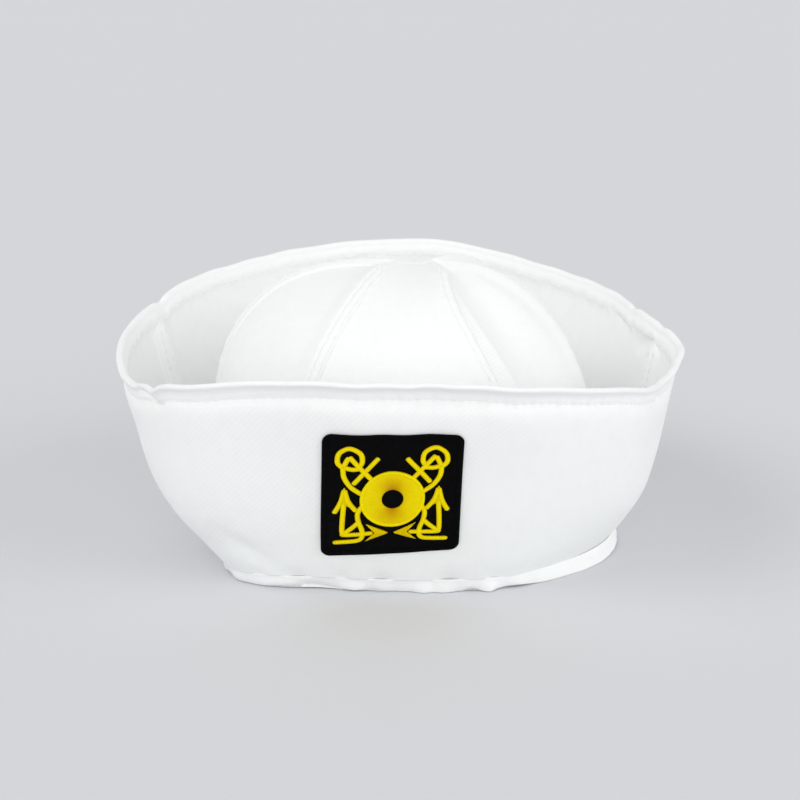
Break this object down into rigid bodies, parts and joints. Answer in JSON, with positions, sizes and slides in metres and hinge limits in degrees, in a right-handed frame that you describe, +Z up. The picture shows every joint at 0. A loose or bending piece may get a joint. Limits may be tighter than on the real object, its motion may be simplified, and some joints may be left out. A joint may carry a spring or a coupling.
{
  "type": "sailor cap",
  "caption": "White cloth sailor cap with a domed gored crown, a high turned-up brim, a gathered head band and an embroidered nautical badge on the front.",
  "frame": {"origin": "on the surface that the cap rests on, under the middle of its bounding box", "axes": "+Z up from the resting surface to the crown, -Y to the front with the badge, +X to the right in the picture"},
  "size_m": [0.2492, 0.2732, 0.1236],
  "materials": {
    "white_twill": "matte cotton twill",
    "black_badge_cloth": "matte black badge cloth",
    "gold_thread": "satin-stitched gold thread"
  },
  "bodies": {
    "root": {"crown_gore_1": "white_twill", "crown_gore_2": "white_twill", "crown_gore_3": "white_twill", "crown_gore_4": "white_twill", "crown_gore_5": "white_twill", "crown_gore_6": "white_twill", "brim_front": "white_twill", "brim_back": "white_twill", "head_band": "white_twill", "badge_patch": "black_badge_cloth", "badge_embroidery": "gold_thread"}
  },
  "joints": []
}
